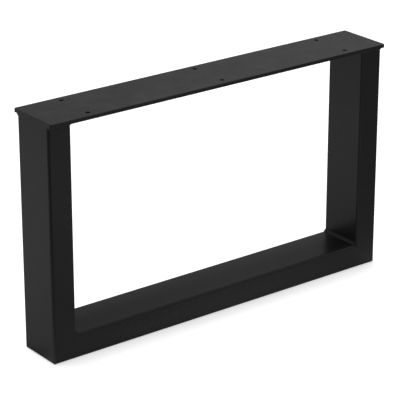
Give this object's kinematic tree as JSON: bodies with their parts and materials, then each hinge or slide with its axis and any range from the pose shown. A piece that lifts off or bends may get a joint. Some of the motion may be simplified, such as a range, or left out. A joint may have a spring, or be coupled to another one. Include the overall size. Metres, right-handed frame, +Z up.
{
  "type": "table leg",
  "caption": "Welded steel U-frame table leg of rectangular tube, two uprights on a floor rail under a flat screw plate, in black powder coat.",
  "frame": {"origin": "middle of the footprint, on the floor under the bottom rail", "axes": "+X along the screw plate and the floor rail, +Y across the tube towards the back, +Z up to the table top"},
  "size_m": [0.6366, 0.096, 0.38],
  "materials": {
    "plate_coat": "fine matt black powder coat",
    "tube_coat": "fine matt black powder coat",
    "weld_coat": "matt black powder coat over rippled weld beads"
  },
  "bodies": {
    "root": {"top_plate": "plate_coat", "left_upright": "tube_coat", "right_upright": "tube_coat", "bottom_rail": "tube_coat", "left_plate_weld": "weld_coat", "right_plate_weld": "weld_coat", "left_corner_weld": "weld_coat", "right_corner_weld": "weld_coat"}
  },
  "joints": []
}
